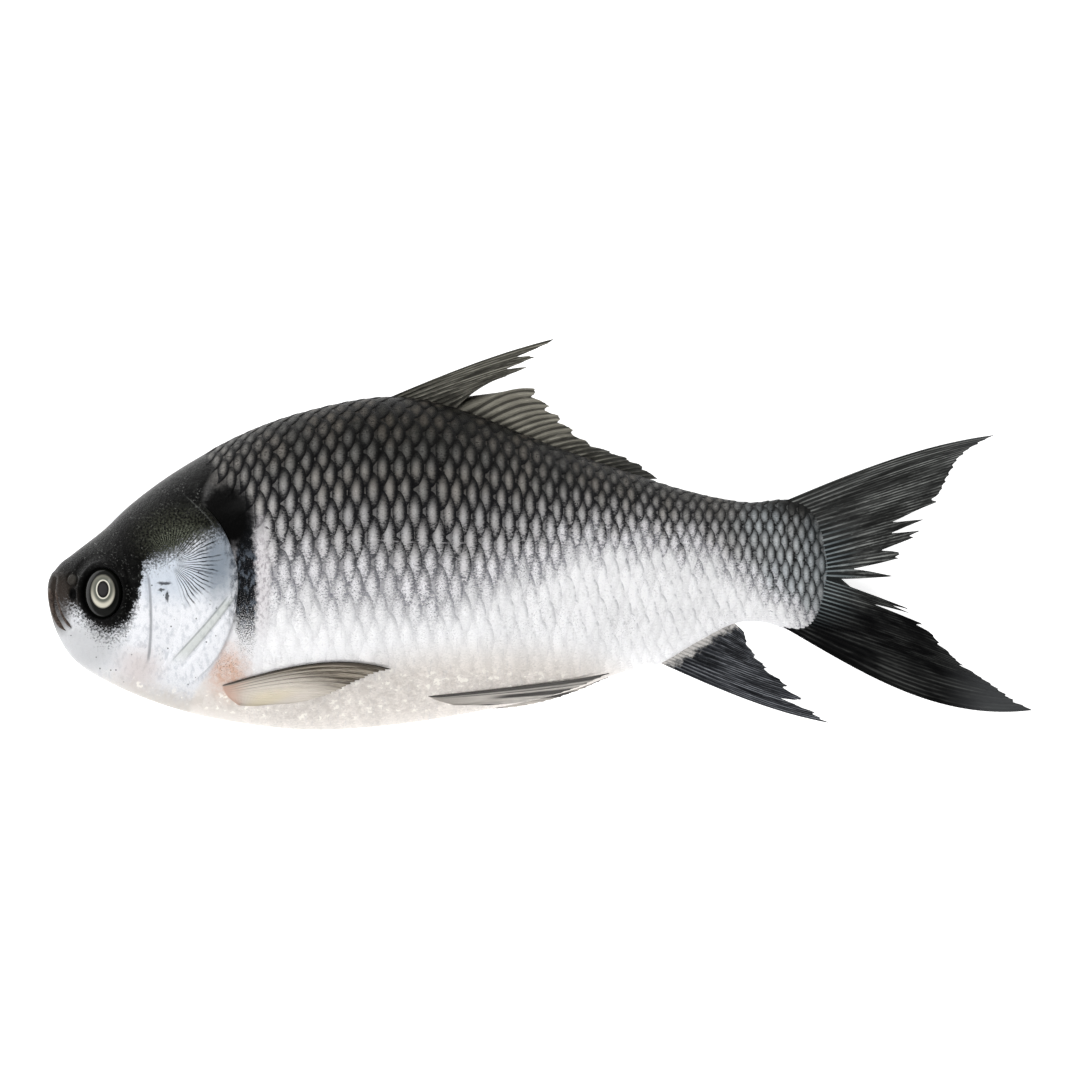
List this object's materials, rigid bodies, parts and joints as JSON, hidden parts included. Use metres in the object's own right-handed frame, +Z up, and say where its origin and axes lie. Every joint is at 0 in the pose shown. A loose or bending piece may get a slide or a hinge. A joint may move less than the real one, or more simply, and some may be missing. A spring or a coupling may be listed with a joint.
{
  "type": "whole catla fish",
  "caption": "Whole fresh catla, a deep-bodied carp with big scales, a dark back and a pale belly, lying on its right flank with its fins spread.",
  "frame": {"origin": "middle of the footprint, on the surface that the fish lies on", "axes": "+X from the snout to the tail, +Y from the belly to the back, +Z up out of the left flank, which is the shown side"},
  "size_m": [0.5, 0.1988, 0.0768],
  "materials": {
    "scaled_skin": "wet scaled skin, near black on the back, grey on the upper flank and silver white below",
    "eye": "wet and glossy, a black pupil in a pale iris"
  },
  "bodies": {
    "root": {"fish": "scaled_skin", "eye_left": "eye", "eye_right": "eye"}
  },
  "joints": []
}
